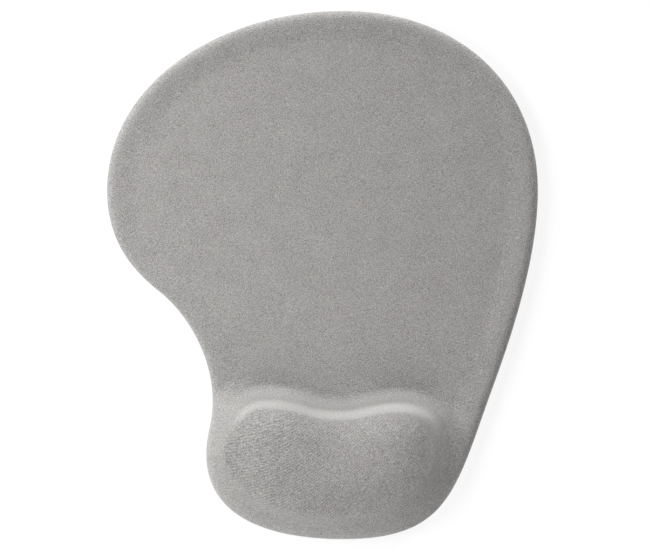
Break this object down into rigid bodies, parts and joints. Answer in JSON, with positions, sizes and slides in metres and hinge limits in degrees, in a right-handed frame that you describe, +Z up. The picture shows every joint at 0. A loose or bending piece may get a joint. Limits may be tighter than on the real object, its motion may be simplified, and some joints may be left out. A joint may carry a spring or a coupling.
{
  "type": "mouse pad with wrist rest",
  "caption": "Knit-covered ergonomic pad with a rounded rim, a flat tracking surface and a raised kidney-shaped gel wrist rest at its front edge.",
  "frame": {"origin": "on the table, under the centre of the whole object's bounding box", "axes": "+Z up from the table, +Y away from the user along the pad's length, +X to the user's right; the wrist rest is at the -Y end"},
  "size_m": [0.204, 0.25, 0.022],
  "materials": {
    "knit": "matt grey stretch knit with a fine crepe grain",
    "grip": "matt black, fine grip relief",
    "adhesive": "thin amber adhesive film",
    "carrier": "moulded dark foam board, skinned",
    "panel_foam": "fine-cell dark grey foam",
    "rest_foam": "soft off-white foam",
    "pouch_film": "clear flexible film",
    "gel": "soft translucent blue gel"
  },
  "bodies": {
    "root": {"fabric_cover": "knit", "grip_sheet": "grip", "base_adhesive": "adhesive", "core_board": "carrier", "panel_adhesive": "adhesive", "panel_foam": "panel_foam", "rest_foam_bed": "rest_foam", "gel_pouch_bottom_film": "pouch_film", "gel_fill": "gel", "gel_pouch_top_film": "pouch_film"}
  },
  "joints": []
}
